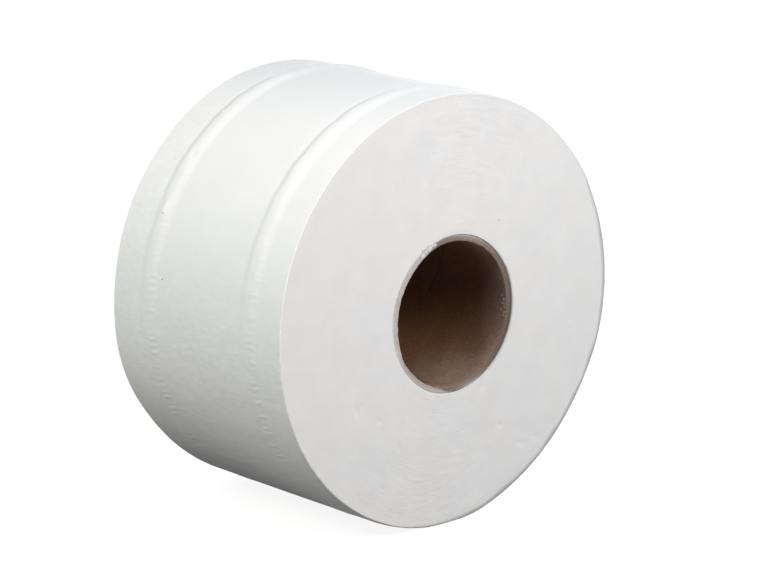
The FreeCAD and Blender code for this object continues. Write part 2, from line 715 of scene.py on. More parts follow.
    def crepe(self, angle: Array, y: Array | float) -> Array:
        """Share of the crepe's wrinkles that show: most low down, and beside the back edge.

        Args:
            angle: Degrees round the roll.
            y: Metres along the axis.

        Returns:
            Shares from 0 to 1.
        """
        low_down = ease((np.abs(turn_from(self.lit_angle, angle)) - self.crepe_turn) / self.crepe_run)
        at_back = self.crepe_at_back * ease((y - self.crepe_back_from) / self.crepe_back_run)
        return np.clip(self.crepe_least + low_down + at_back, 0.0, 1.0)

    def side_row(self, angle: Array, y: Array | float, inset: Array | float = 0.0) -> Array:
        """One closed row of points on the side.

        Args:
            angle: Degrees round the roll.
            y: Metres along the axis.
            inset: How far the row lies inside the outermost sheet.

        Returns:
            The row's points.
        """
        near_tail = bell(turn_from(self.outline.tail_angle, angle), self.tear_reach)
        torn = angle + self.tear.at(np.zeros(1), y) * near_tail
        reach = self.outline.reach(angle) + self.relief(torn, y) - inset
        return self.outline.on_floor(polar(self.outline.axis, reach, torn, y))

    def stretches(self) -> list[tuple[Array, bool]]:
        """Places of the side's rows between the rims, as stretches of plain and of fine columns.

        Returns:
            Places along the axis, and whether that stretch has fine columns.
        """
        end = self.face_y - self.rim.longest
        start = -end
        stretches = []
        for band in self.bands:
            bars_start = band.crest_y + band.bar_start - band.bar_fade
            bars_end = band.crest_y + band.bar_end + band.bar_fade
            foot = band.crest_y + band.front_foot - self.before_band
            after = band.crest_y + band.back_foot + self.past_band
            plain = np.linspace(start, foot, max(2, round((foot - start) / self.plain_step)))[1:]
            stretches.append((np.append(plain, bars_start), False))
            fine_rows = round((bars_end - bars_start) / self.band_step)
            stretches.append((np.linspace(bars_start, bars_end, fine_rows + 2)[1:-1], True))
            close_rows = round((after - bars_end) / self.band_step)
            stretches.append((np.linspace(bars_end, after, close_rows), False))
            start = after
        stretches.append((np.linspace(start, end, round((end - start) / self.plain_step) + 3)[1:-1], False))
        return stretches

    def add_side(self) -> dict[End, Array]:
        """Adds the side and both rims.

        Returns:
            The row of point numbers where each rim meets its end face.
        """
        angle, fine_angle = self.column_angles(), self.column_angles(FINE_COLUMNS)
        steps = self.rim.steps(angle)
        top = self.face_y

        def row(columns: Array, y: Array | float, inset: Any = 0.0, shade: Any = 0.0) -> Array:
            """Adds one row of the side, and returns its point numbers."""
            points = self.side_row(columns, y, inset)
            return self.skin.add(points, crepe=self.crepe(columns, y), shade=shade)

        rows = [(row(angle, away - top, inset, shade), False) for away, inset, shade in reversed(steps)]
        for places, is_fine in self.stretches():
            rows += [(row(fine_angle if is_fine else angle, y), is_fine) for y in places]
        rows += [(row(angle, top - away, inset, shade), False) for away, inset, shade in steps]
        for (low, low_fine), (high, high_fine) in zip(rows, rows[1:]):
            if low_fine == high_fine:
                self.skin.band(low, high, Finish.SKIN)
            elif high_fine:
                self.skin.step_band(low, high, Finish.SKIN, flip=False)
            else:
                self.skin.step_band(high, low, Finish.SKIN, flip=True)
        return {End.FRONT: rows[0][0], End.BACK: rows[-1][0]}

    def inner_radius(self, angle: Array, end: End) -> Array:
        """Radius of the first turn's cut edge, ragged where it hangs over the core's edge.

        Args:
            angle: Degrees round the core.
            end: The end face.

        Returns:
            Radius about the core's centre, in metres.
        """
        fray = self.front_fray if end is End.FRONT else self.back_fray
        overhang = np.abs(Ripples(41 + end.value, (14, 70)).at(angle))
        gap = self.gap + self.open_gap * self.gaping.at(angle) - self.closed.at(angle)
        return self.core_radius + gap - self.fray_length * (self.fray_least + fray.at(angle)) * overhang

    def ruffle(self, angle: Array) -> Array:
        """Share of the turns' edges that stand out on an end face: most at its top and its bottom."""
        low, high = self.ruffles
        return self.ruffle_least + np.maximum(low.at(angle), high.at(angle))

    def end_lift(self, end: End, angle: Array, radius: Array, turn: Array) -> Array:
        """How far an end face stands out from its plane: soft hollows, the turns' edges and its marks.

        Args:
            end: The end face.
            angle: Degrees round the roll.
            radius: Distance from the roll's axis.
            turn: Turns from the core.

        Returns:
            Lift in metres, below 0 for a dent.
        """
        lift = self.hollows.at(angle + self.hollow_twist * turn)
        lift = lift + self.ruffle(angle) * self.turn_edges.at(angle + self.turn_twist * turn)
        if end is End.FRONT:
            lift = lift + sum(mark.at(angle, radius, radius) for mark in self.face_marks)
        return np.minimum(lift, self.most_lift)

    def add_end(self, end: End, rim_row: Array) -> Array:
        """Adds one end face, whose rows wind outwards as the turns do.

        Args:
            end: The end face.
            rim_row: Point numbers where the rim meets the face.

        Returns:
            The point numbers of the face's inner edge.
        """
        count, rows = self.columns, self.turn_rows
        angle = self.column_angles()
        around = np.arange(count) / count
        top = end.value * self.face_y
        inner_edge = polar(self.core_centre, self.inner_radius(angle, end), angle, top)
        rim_points = np.concatenate(self.skin.points)[rim_row]

        def ring(turn: Array) -> Array:
            """Adds a row of the face whose points lie at these turns from the core."""
            share = (turn / (self.turns + 1))[:, None]
            flat = inner_edge * (1.0 - share) + rim_points * share
            across, up = flat[:, 0] - self.outline.axis[0], flat[:, 2] - self.outline.axis[1]
            way = np.degrees(np.arctan2(up, across))
            from_edges = ease(turn / self.flat_turns) * ease((self.turns + 1 - turn) / self.flat_turns)
            lift = self.end_lift(end, way, np.hypot(across, up), turn) * from_edges
            flat[:, 1] = top + end.value * lift
            shade = self.gap_shade * self.gaping.at(angle) * (1.0 - ease(turn / self.gap_turns))
            return self.skin.add(flat, turns=turn, ruffle=self.ruffle(way), shade=shade)

        inner = ring(0 * around)
        numbers = np.empty((self.turns + 2, rows + 1, count + 1), dtype=int)
        for turn in range(-1, self.turns + 1):
            for row in range(rows):
                part = row / rows
                if turn < 0:
                    place = part * around
                elif turn < self.turns:
                    place = turn + part + around
                else:
                    place = turn + around + part * (1.0 - around)
                first = turn < 0 and row == 0
                numbers[turn + 1, row, :count] = inner if first else ring(place)
        numbers[0, :, 0] = inner[0]
        numbers[1, 0, 0] = inner[0]
        numbers[:-1, rows, :count] = numbers[1:, 0, :count]
        numbers[-1, rows, :count] = rim_row
        numbers[:-1, :, count] = numbers[1:, :, 0]
        numbers[-1, :, count] = rim_row[0]
        for turn in range(self.turns + 2):
            self.skin.sheet(list(numbers[turn]), Finish.CUT, flip=end is End.BACK, closed=False)
        return inner

    def add_bore(self, inner: dict[End, Array]) -> None:
        """Closes the roll with the wall that lies against the core.

        Args:
            inner: The inner edge of each end face.
        """
        angle = self.column_angles()
        rows = [inner[End.FRONT]]
        for end in End:
            lip_y = end.value * (self.face_y - self.lip_depth)
            lip = polar(self.core_centre, self.inner_radius(angle, end), angle, lip_y)
            wall_y = lip_y - end.value * self.wall_below_lip
            wall = polar(self.core_centre, self.core_radius + CORE_FIT, angle, wall_y)
            steps = [self.skin.add(part, shade=self.gaping.at(angle)) for part in (lip, wall)]
            rows += steps if end is End.FRONT else steps[::-1]
        rows.append(inner[End.BACK])
        self.skin.sheet(rows, Finish.CUT, flip=True)

    def add_crumbs(self) -> None:
        """Adds the crumpled bits of tissue that the saw left on the core's edge."""
        draw = np.random.default_rng(81)
        for number in range(self.crumbs):
            angle = self.crumb_start + self.crumb_turn * (number + draw.uniform(0.2, 0.8)) / self.crumbs
            radius = self.core_radius + draw.uniform(-1.5, 0.3) * MM
            half_sizes = draw.uniform(self.least_crumb, self.most_crumb) * MM
            turn = angle + 90.0 + draw.uniform(-35.0, 35.0)
            shade = draw.uniform(0.1, 0.4)
            place = polar(self.core_centre, radius, angle, -self.face_y)
            self.skin.add_lump(place, half_sizes, turn, 90 + number, Finish.CUT, shade=shade)

    def add_lint(self) -> None:
        """Adds the specks of lint on the side and near both edges, and the dark specks of dirt.

        Each speck is an angle, a place along the axis and a size, both in millimetres, and its share of dirt.
        """
        draw = np.random.default_rng(82)
        specks = [(153.6, 29.6, 0.7, 0.0), (136.3, 28.8, 0.4, 0.0), (170.4, 21.6, 0.4, 1.0)]
        for _ in range(self.back_lint):
            specks.append((draw.uniform(100.0, 128.0), draw.uniform(37.0, 43.0), 0.3, 0.0))
        for _ in range(self.edge_lint):
            specks.append((draw.uniform(96.0, 150.0), -51.3, 0.22, 0.0))
        for number, (angle, y, size, dirt) in enumerate(specks):
            reach = self.outline.reach(np.array(angle)) + self.relief(np.array(angle), np.array(y * MM))
            place = polar(self.outline.axis, reach, angle, y * MM)
            half_sizes = np.array(self.lint_shape) * size * MM
            self.skin.add_lump(place, half_sizes, angle, 120 + number, Finish.SKIN, speck=dirt)
        angle, radius = self.face_speck
        on_face = polar(self.outline.axis, radius, angle, -self.face_y)
        half_sizes = np.array(self.face_speck_shape) * MM
        self.skin.add_lump(on_face, half_sizes, angle, 119, Finish.CUT, speck=1.0)

    def build(self, materials: list[bpy.types.Material]) -> bpy.types.Object:
        """Builds the roll as one closed skin.

        Args:
            materials: The finish of the sheet and that of the turns' cut edges.

        Returns:
            The piece.
        """
        rims = self.add_side()
        self.add_bore({end: self.add_end(end, rims[end]) for end in End})
        self.add_crumbs()
        self.add_lint()
        return self.skin.build("tissue_roll", materials)


@dataclass
class CardboardCore:
    """The spiral-wound tube that the tissue is wound on."""

    centre: tuple[float, float]
    bore_radius: float
    outer_radius: float
    half_width: float
    end_sink: float = 0.15 * MM
    columns: int = 288
    wall_step: float = 2.0 * MM
    edge_rows: int = 11

    # The inner ply's seam, which turns by so many degrees for each millimetre
    seam_width: float = 1.3 * MM
    seam_depth: float = 0.2 * MM
    seam_turn: float = -2.9
    seam_from_front: float = 44.6 * MM
    seam_fade: float = 5 * MM
    seam_strength: float = 0.8
    seam_left: float = 0.1
    beside_seam: tuple[float, ...] = (-1.6, -1.0, -0.4, 0.4, 1.0, 1.6)

    # The bore and its mouths
    bore_waves: Ripples = Ripples(61, (2, 7), 10.0, 0.1 * MM)
    ragged: Ripples = Ripples(62, (12, 60), height=0.08 * MM)
    mouth_depth: float = 5 * MM
    burr: Swell = Swell(156.0, 34.0, 0.6 * MM)
    nicks: tuple[Swell, ...] = (Swell(211.0, 8.0, 0.35 * MM), Swell(243.0, 13.0, 0.3 * MM))
    # Painted light, partly paper dust: the bore is lighter round its mouths and on its lit bottom, and darker
    # elsewhere
    mouth_bloom: float = 0.95
    mouth_bloom_depth: float = 8 * MM
    lit_bottom: Swell = Swell(286.0, 27.0, 0.95)
    lit_bottom_depth: float = 30 * MM
    bloom_patches: Ripples = Ripples(63, (3, 20), 60.0, 0.12)

    # Slivers at the front mouth: the angle and the depth in millimetres of each
    slivers: tuple[tuple[float, float], ...] = (
        (4.5, 2.6), (1.5, 1.6), (358.0, 2.1), (355.0, 0.9), (351.5, 1.4), (348.5, 1.0), (352.5, 2.8)
    )
    sliver_shape: tuple[float, float, float] = (0.35, 0.7, 0.5)
    sliver_rise: float = 0.1 * MM

    # The cut edge, in degrees from +X, with shares of the way from the bore to the paper
    rough: Ripples = Ripples(71, (20, 80), height=0.05 * MM)
    most_rough: float = 0.1 * MM
    ply_gap: float = 0.2 * MM
    ply_gap_at: float = 0.52
    ply_gap_reach: float = 0.09
    rounding: float = 0.12 * MM
    rounding_reach: float = 0.1
    # Painted shade: where the cut edge is darkened, on its right side beside the gap to the paper
    glued: Swell = Swell(342.0, 44.0)
    dust_wander: Ripples = Ripples(72, (4, 30), height=3.0)
    dust_start: float = 111.0
    dust_start_slant: float = 12.0
    dust_start_run: float = 10.0
    dust_lost: float = 0.22
    dust_thins_at: float = 206.0
    dust_thins_run: float = 16.0
    dust_end: float = 240.0
    dust_end_slant: float = 26.0
    dust_end_run: float = 12.0
    thin_dust: tuple[Swell, ...] = (Swell(76.0, 24.0), Swell(288.0, 14.0))
    skin: Skin = field(init=False)

    def __post_init__(self) -> None:
        """Starts the skin."""
        self.skin = Skin("seam", "dust", "ply", "bloom", "glue")

    @property
    def end_y(self) -> float:
        """Distance of the cut edges from the tube's middle."""
        return self.half_width - self.end_sink

    @property
    def half_seam(self) -> float:
        """Half the seam's width, in degrees round the bore."""
        return math.degrees(self.seam_width / 2 / self.bore_radius)

    def seam_angle(self, y: float) -> float:
        """Angle of the inner ply's seam at a place along the tube."""
        return self.seam_turn * (y + self.half_width - self.seam_from_front) / MM

    def offsets(self) -> Array:
        """Angles of the columns from the seam, close together beside it."""
        plain = WHOLE_TURN / self.columns * np.arange(2, self.columns - 1)
        beside = np.array(self.beside_seam) * self.half_seam % WHOLE_TURN
        return np.sort(np.concatenate([[0.0], plain, beside]))

    def bore_reach(self, angle: Array, offset: Array, y: float) -> Array:
        """Radius of the bore, with its seam and its dented mouth.

        Args:
            angle: Degrees round the core.
            offset: Degrees from the seam.
            y: Metres along the axis.

        Returns:
            Radius in metres.
        """
        groove = self.seam_depth * np.clip(1.0 - np.abs(turn_from(0.0, offset)) / self.half_seam, 0.0, 1.0)
        mouth = math.exp((abs(y) - self.half_width) / self.mouth_depth)
        nicks = sum(nick.at(angle) for nick in self.nicks)
        dents = mouth * (self.ragged.at(angle) + nicks - self.burr.at(angle))
        return self.bore_radius + groove + self.bore_waves.at(angle, y) + dents

    def bloom(self, angle: Array, y: float) -> Array:
        """Share of lighter colour on the bore: paper dust and painted light round its mouths, and painted
        light further in on its lit bottom.

        Args:
            angle: Degrees round the core.
            y: Metres along the axis.

        Returns:
            Shares from 0 to 1.
        """
        depth = self.half_width - abs(y)
        at_mouth = self.mouth_bloom * bell(depth, self.mouth_bloom_depth)
        lit_bottom = self.lit_bottom.at(angle) * bell(depth, self.lit_bottom_depth)
        return np.clip(np.maximum(at_mouth, lit_bottom) * (1.0 + self.bloom_patches.at(angle, y)), 0.0, 1.0)

    def build(self, materials: list[bpy.types.Material]) -> bpy.types.Object:
        """Builds the tube as one closed skin.

        Args:
            materials: The finish of the board's face and that of its cut edge.

        Returns:
            The piece.
        """
        offset = self.offsets()
        on_seam = self.seam_strength * bell(turn_from(0.0, offset), self.half_seam)
        inner_rows, outer_rows = [], []
        for y in np.linspace(-self.end_y, self.end_y, round(2 * self.end_y / self.wall_step) + 1):
            angle = offset + self.seam_angle(y)
            past_fade = ease((y + self.half_width - self.seam_from_front) / self.seam_fade)
            seam = on_seam * (1.0 - (1.0 - self.seam_left) * past_fade)
            bore = polar(self.centre, self.bore_reach(angle, offset, y), angle, y)
            inner_rows.append(self.skin.add(bore, seam=seam, bloom=self.bloom(angle, y)))
            outer_rows.append(self.skin.add(polar(self.centre, self.outer_radius, angle, y)))
        self.skin.sheet(inner_rows, Finish.SKIN, flip=True)
        self.skin.sheet(outer_rows, Finish.SKIN)
        for end in End:
            self.add_edge(end, offset)
        self.add_frays()
        return self.skin.build("core_tube", materials)

    def add_frays(self) -> None:
        """Adds the slivers of board that the saw raised at the bore's mouth."""
        half_sizes = np.array(self.sliver_shape) * MM
        for number, (angle, depth) in enumerate(self.slivers):
            place = polar(self.centre, self.bore_radius - self.sliver_rise, angle, depth * MM - self.end_y)
            self.skin.add_lump(place, half_sizes, angle, 100 + number, Finish.SKIN, bloom=1.0)

    def dust(self, angle: Array, share: float) -> Array:
        """Share of tissue dust on the cut edge: thick on its left half, thin elsewhere next to the paper.

        Args:
            angle: Degrees round the core, from 0 to 360.
            share: Share of the way from the bore to the paper.

        Returns:
            Shares from 0 to 1.
        """
        starts = ease((angle - self.dust_start + self.dust_start_slant * share) / self.dust_start_run)
        ends = 1.0 - ease((angle - self.dust_end - self.dust_end_slant * share) / self.dust_end_run)
        thinner = 1.0 - self.dust_lost * ease((angle - self.dust_thins_at) / self.dust_thins_run)
        thick = starts * ends * thinner * (1.0 - self.dust_lost * (1.0 - share))
        places = sum(place.at(angle) for place in self.thin_dust)
        thin = (0.1 + 0.5 * bell(share - 1.0, 0.4)) * places
        return np.maximum(thick, thin)

    def add_edge(self, end: End, offset: Array) -> None:
        """Adds the cut edge of one end, with its plies a little uneven.

        Args:
            end: The end of the tube.
            offset: Degrees from the seam for each column.
        """
        y = end.value * self.end_y
        angle = offset + self.seam_angle(y)
        start = self.bore_reach(angle, offset, y)
        way = angle % WHOLE_TURN + self.dust_wander.at(angle)
        rows = []
        for share in np.linspace(0.0, 1.0, self.edge_rows):
            dust = self.dust(way, share)
            ply_gap = self.ply_gap * bell(share - self.ply_gap_at, self.ply_gap_reach) * (0.35 + 0.65 * dust)
            at_paper = bell(share - 1.0, self.rounding_reach) * (1.0 - dust)
            round_off = self.rounding * (bell(share, self.rounding_reach) + at_paper)
            rough = np.minimum(self.rough.at(angle + 60.0 * share), self.most_rough)
            height = rough - ply_gap - round_off
            radius = start + (self.outer_radius - start) * share
            points = polar(self.centre, radius, angle, y + end.value * height)
            # Painted shade: darkens the cut edge on the right, most next to the paper, where the gap lies in
            # shade
            glue = self.glued.at(angle) * (0.6 + 0.4 * ease((share - 0.65) / 0.2))
            rows.append(self.skin.add(points, dust=dust, ply=share, glue=glue))
        self.skin.sheet(rows, Finish.CUT, flip=end is End.BACK)


class NodeChain:
    """Adds nodes to one node tree and links them as they come."""

    def __init__(self, tree: bpy.types.NodeTree) -> None:
        """Starts on a tree, and clears what it holds."""
        self.tree = tree
        tree.nodes.clear()

    def node(self, kind: str, inputs: dict[Any, Any] | None = None, **settings: Any) -> bpy.types.Node:
        """Adds one node.

        Args:
            kind: The node's type.
            inputs: A value, or an output to link, for each input by its name or number.
            **settings: The node's own settings.

        Returns:
            The node.
        """
        made = self.tree.nodes.new(kind)
        for name, value in settings.items():
            setattr(made, name, value)
        for key, value in (inputs or {}).items():
            if isinstance(value, bpy.types.NodeSocket):
                self.tree.links.new(value, made.inputs[key])
            else:
                made.inputs[key].default_value = value
        return made

    def math(self, operation: str, *values: Any) -> bpy.types.NodeSocket:
        """Adds a Math node on these values or outputs, and returns its result."""
        return self.node("ShaderNodeMath", dict(enumerate(values)), operation=operation).outputs[0]

    def mix(self, factor: Any, first: Any, second: Any, blend: str = "MIX") -> bpy.types.NodeSocket:
        """Mixes two colours.

        Args:
            factor: Share of the second colour.
            first: The first colour, or an output.
            second: The second colour, or an output.
            blend: The way in which they are mixed.

        Returns:
            The mixed colour.
        """
        inputs = {0: factor, 6: first, 7: second}
        return self.node("ShaderNodeMix", inputs, data_type="RGBA", blend_type=blend).outputs[2]

    def mark(self, name: str) -> bpy.types.NodeSocket:
        """Reads a mark that the mesh's points carry."""
        return self.node("ShaderNodeAttribute", attribute_name=name).outputs["Fac"]

    def scaled(self, vector: Any, scale: Any) -> bpy.types.NodeSocket:
        """Multiplies a vector or a colour by a value."""
        return self.node("ShaderNodeVectorMath", {0: vector, "Scale": scale}, operation="SCALE").outputs[0]

    def noise(self, place: Any, scale: Any, detail: float, roughness: float = 0.5) -> bpy.types.NodeSocket:
        """Adds a noise, and returns its value about 0, half a unit either way at most."""
        inputs = {"Vector": place, "Scale": scale, "Detail": detail, "Roughness": roughness}
        return self.math("SUBTRACT", self.node("ShaderNodeTexNoise", inputs).outputs["Fac"], 0.5)


class NodeGroups:
    """The effects that more than one material uses, each built once."""

    def __init__(self) -> None:
        """Builds the groups."""
        self.fibre_mottle = self._fibre_mottle()
        self.laid_lines = self._laid_lines()

    @staticmethod
    def _open(name: str, inputs: dict[str, tuple[str, Any]], outputs: dict[str, str]) -> tuple[Any, Any, Any]:
        """Starts a node group.

        Args:
            name: The group's name.
            inputs: Each input's kind of socket and its value.
            outputs: Each output's kind of socket.

        Returns:
            The group's chain, its input node and its output node.
        """
        tree = bpy.data.node_groups.new(name, "ShaderNodeTree")
        for label, (kind, value) in inputs.items():
            socket = tree.interface.new_socket(label, in_out="INPUT", socket_type=kind)
            if value is not None:
                socket.default_value = value
        for label, kind in outputs.items():
            tree.interface.new_socket(label, in_out="OUTPUT", socket_type=kind)
        chain = NodeChain(tree)
        return chain, chain.node("NodeGroupInput"), chain.node("NodeGroupOutput")

    def _fibre_mottle(self) -> bpy.types.NodeTree:
        """Cloudy patches and short fibres, which make a colour lighter and darker and give a height."""
        chain, given, result = self._open(
            "fibre_mottle",
            {
                "Position": ("NodeSocketVector", None),
                "Colour": ("NodeSocketColor", (0.8, 0.8, 0.8, 1.0)),
                "Tint": ("NodeSocketColor", (0.8, 0.8, 0.8, 1.0)),
                "Tint Share": ("NodeSocketFloat", 0.0),
                "Stretch": ("NodeSocketVector", (1.0, 1.0, 1.0)),
                "Patch Scale": ("NodeSocketFloat", 60.0),
                "Fibre Scale": ("NodeSocketFloat", 900.0),
                "Patch Contrast": ("NodeSocketFloat", 0.05),
                "Fibre Contrast": ("NodeSocketFloat", 0.05),
            },
            {"Colour": "NodeSocketColor", "Height": "NodeSocketFloat"},
        )
        place = chain.node(
            "ShaderNodeVectorMath",
            {0: given.outputs["Position"], 1: given.outputs["Stretch"]},
            operation="MULTIPLY",
        ).outputs[0]
        patch = chain.noise(given.outputs["Position"], given.outputs["Patch Scale"], 3.0)
        fibre = chain.noise(place, given.outputs["Fibre Scale"], 4.0, 0.62)
        patch_part = chain.math("MULTIPLY", patch, given.outputs["Patch Contrast"])
        fibre_part = chain.math("MULTIPLY", fibre, given.outputs["Fibre Contrast"])
        tone = chain.math("ADD", 1.0, chain.math("ADD", patch_part, fibre_part))
        colour = chain.mix(given.outputs["Tint Share"], given.outputs["Colour"], given.outputs["Tint"])
        chain.tree.links.new(chain.scaled(colour, tone), result.inputs["Colour"])
        chain.tree.links.new(fibre, result.inputs["Height"])
        return chain.tree

    def _laid_lines(self) -> bpy.types.NodeTree:
        """Wavy strokes that follow a count, such as turns or plies, uneven in place and in strength."""
        chain, given, result = self._open(
            "laid_lines",
            {
                "Position": ("NodeSocketVector", None),
                "Count": ("NodeSocketFloat", 0.0),
                "Along Scale": ("NodeSocketFloat", 75.0),
                "Wander": ("NodeSocketFloat", 1.2),
                "Wander Scale": ("NodeSocketFloat", 60.0),
            },
            {"Height": "NodeSocketFloat"},
        )
        wander = chain.noise(given.outputs["Position"], given.outputs["Wander Scale"], 3.0)
        shift = chain.math("MULTIPLY", wander, given.outputs["Wander"])
        scaled = chain.scaled(given.outputs["Position"], given.outputs["Along Scale"])
        along = chain.node("ShaderNodeSeparateXYZ", {0: scaled})
        place = chain.node(
            "ShaderNodeCombineXYZ",
            {0: chain.math("ADD", given.outputs["Count"], shift), 1: along.outputs[0], 2: along.outputs[2]},
        ).outputs[0]
        chain.tree.links.new(chain.noise(place, 1.0, 2.0), result.inputs["Height"])
        return chain.tree


class Surface:
    """A material that is being made: its node chain, its Principled shader and the place of each point."""

    def __init__(self, name: str, roughness: float, specular: float) -> None:
        """Starts a material.

        Args:
            name: The material's name.
            roughness: How rough the surface is all over.
            specular: Strength of its gloss.
        """
        self.material = bpy.data.materials.new(name)
        self.material.use_nodes = True
        self.chain = NodeChain(self.material.node_tree)
        self.position = self.chain.node("ShaderNodeTexCoord").outputs["Object"]
        self.shader = self.chain.node(
            "ShaderNodeBsdfPrincipled", {"Roughness": roughness, "Specular IOR Level": specular}
        )
        output = self.chain.node("ShaderNodeOutputMaterial")
        self.link(self.shader.outputs[0], output.inputs["Surface"])

    def link(self, start: bpy.types.NodeSocket, end: bpy.types.NodeSocket) -> None:
        """Links an output to an input."""
        self.chain.tree.links.new(start, end)

    def group(self, tree: bpy.types.NodeTree, inputs: dict[str, Any]) -> bpy.types.Node:
        """Places a node group, with the place of each point filled in.

        Args:
            tree: The group.
            inputs: A value or an output for each further input by its name.

        Returns:
            The group's node.
        """
        return self.chain.node("ShaderNodeGroup", {"Position": self.position, **inputs}, node_tree=tree)

    def bump(self, heights: list[tuple[bpy.types.NodeSocket, float]]) -> None:
        """Stacks bumps on the shader's normal.

        Args:
            heights: Each height and how far it reaches, in metres.
        """
        normal = None
        for height, distance in heights:
            inputs = {"Height": height, "Distance": distance, "Strength": 1.0}
            if normal is not None:
                inputs["Normal"] = normal
            normal = self.chain.node("ShaderNodeBump", inputs).outputs["Normal"]
        self.link(normal, self.shader.inputs["Normal"])


@dataclass(frozen=True)
class TissueSheet:
    """The outermost sheet: soft creped tissue, wrinkled all over where little light rakes it."""

    colour: tuple[float, float, float, float] = (0.86, 0.86, 0.85, 1.0)
    shade_colour: tuple[float, float, float, float] = (0.52, 0.52, 0.52, 1.0)
    speck_colour: tuple[float, float, float, float] = (0.42, 0.4, 0.38, 1.0)
    roughness: float = 0.95
    specular: float = 0.15
    sheen: float = 0.1
    sheen_roughness: float = 0.6
    crepe: float = 0.19 * MM
    wrinkle: float = 0.12 * MM

    def material(self, groups: NodeGroups) -> bpy.types.Material:
        """Makes the material.

        Args:
            groups: The shared node groups.

        Returns:
            The material.
        """
        surface = Surface("tissue_sheet", self.roughness, self.specular)
        chain = surface.chain
        showing = chain.mark("crepe")
        shaded = chain.mix(chain.mark("shade"), self.colour, self.shade_colour)
        mottle = surface.group(
            groups.fibre_mottle,
            {
                "Colour": shaded,
                "Tint": self.speck_colour,
                "Tint Share": chain.mark("speck"),
                "Stretch": (1.0, 0.6, 1.0),
                "Patch Scale": 45.0,
                "Fibre Scale": 420.0,
                "Patch Contrast": 0.06,
                "Fibre Contrast": chain.math("MULTIPLY", showing, 0.16),
            },
        )
        surface.link(mottle.outputs["Colour"], surface.shader.inputs["Base Color"])
        wrinkle = surface.group(
            groups.fibre_mottle,
            {"Colour": self.colour, "Stretch": (1.0, 0.5, 1.0), "Fibre Scale": 170.0},
        )
        wrinkles = chain.math("MULTIPLY", wrinkle.outputs["Height"], showing)
        creping = chain.math("MULTIPLY", mottle.outputs["Height"], showing)
        surface.bump([(wrinkles, self.wrinkle), (creping, self.crepe)])
        surface.shader.inputs["Sheen Weight"].default_value = self.sheen
        surface.shader.inputs["Sheen Roughness"].default_value = self.sheen_roughness
        return surface.material


@dataclass(frozen=True)
class TissueTurns:
    """The end faces: the cut edges of hundreds of turns, nearly smooth, with faint strokes round the core."""

    colour: tuple[float, float, float, float] = (0.865, 0.862, 0.848, 1.0)
    cool_colour: tuple[float, float, float, float] = (0.85, 0.858, 0.865, 1.0)
    shade_colour: tuple[float, float, float, float] = (0.16, 0.15, 0.14, 1.0)
    speck_colour: tuple[float, float, float, float] = (0.42, 0.4, 0.38, 1.0)
    roughness: float = 0.95
    specular: float = 0.12
    tint_scale: float = 38.0
    lines_per_turn: float = 2.0
    line_depth: float = 0.13 * MM
    grain: float = 0.02 * MM

    def material(self, groups: NodeGroups) -> bpy.types.Material:
        """Makes the material.

        Args:
            groups: The shared node groups.

        Returns:
            The material.
        """
        surface = Surface("tissue_turns", self.roughness, self.specular)
        chain = surface.chain
        patches = chain.noise(surface.position, self.tint_scale, 3.0)
        tinted = chain.mix(chain.math("MULTIPLY_ADD", patches, 2.5, 0.5), self.colour, self.cool_colour)
        mottle = surface.group(
            groups.fibre_mottle,
            {
                "Colour": chain.mix(chain.mark("shade"), tinted, self.shade_colour),
                "Tint": self.speck_colour,
                "Tint Share": chain.mark("speck"),
                "Patch Scale": 110.0,
                "Fibre Scale": 1100.0,
                "Patch Contrast": 0.09,
                "Fibre Contrast": 0.05,
            },
        )
        surface.link(mottle.outputs["Colour"], surface.shader.inputs["Base Color"])
        count = chain.math("MULTIPLY", chain.mark("turns"), self.lines_per_turn)
        lines = surface.group(groups.laid_lines, {"Count": count, "Along Scale": 140.0, "Wander": 2.0})
        strokes = chain.math("MULTIPLY", lines.outputs["Height"], chain.mark("ruffle"))
        surface.bump([(strokes, self.line_depth), (mottle.outputs["Height"], self.grain)])
        return surface.material


@dataclass(frozen=True)
class KraftFace:
    """The board's brown face, with its seam darker, its brown darkened as painted shade deep in the bore, and
    lighter with dust and painted light at its mouths and on its lit bottom.
    """

    # Darker than the board itself, so that it also paints the shade deep in the bore
    colour: tuple[float, float, float, float] = (0.15, 0.077, 0.038, 1.0)
    # Paper dust and painted light, at the mouths and on the bore's lit bottom; also the slivers' colour
    bloom_colour: tuple[float, float, float, float] = (0.325, 0.222, 0.152, 1.0)
    seam_colour: tuple[float, float, float, float] = (0.075, 0.038, 0.018, 1.0)
    roughness: float = 0.85
    specular: float = 0.2
    fibre_depth: float = 0.08 * MM

    def material(self, groups: NodeGroups) -> bpy.types.Material:
        """Makes the material.

        Args:
            groups: The shared node groups.

        Returns:
            The material.
        """
        surface = Surface("kraft_face", self.roughness, self.specular)
        mottle = surface.group(
            groups.fibre_mottle,
            {
                "Colour": self.colour,
                "Tint": self.bloom_colour,
                "Tint Share": surface.chain.mark("bloom"),
                "Patch Scale": 130.0,
                "Fibre Scale": 1100.0,
                "Patch Contrast": 0.5,
                "Fibre Contrast": 1.0,
            },
        )
        colour = surface.chain.mix(surface.chain.mark("seam"), mottle.outputs["Colour"], self.seam_colour)
        surface.link(colour, surface.shader.inputs["Base Color"])
        surface.bump([(mottle.outputs["Height"], self.fibre_depth)])
        return surface.material


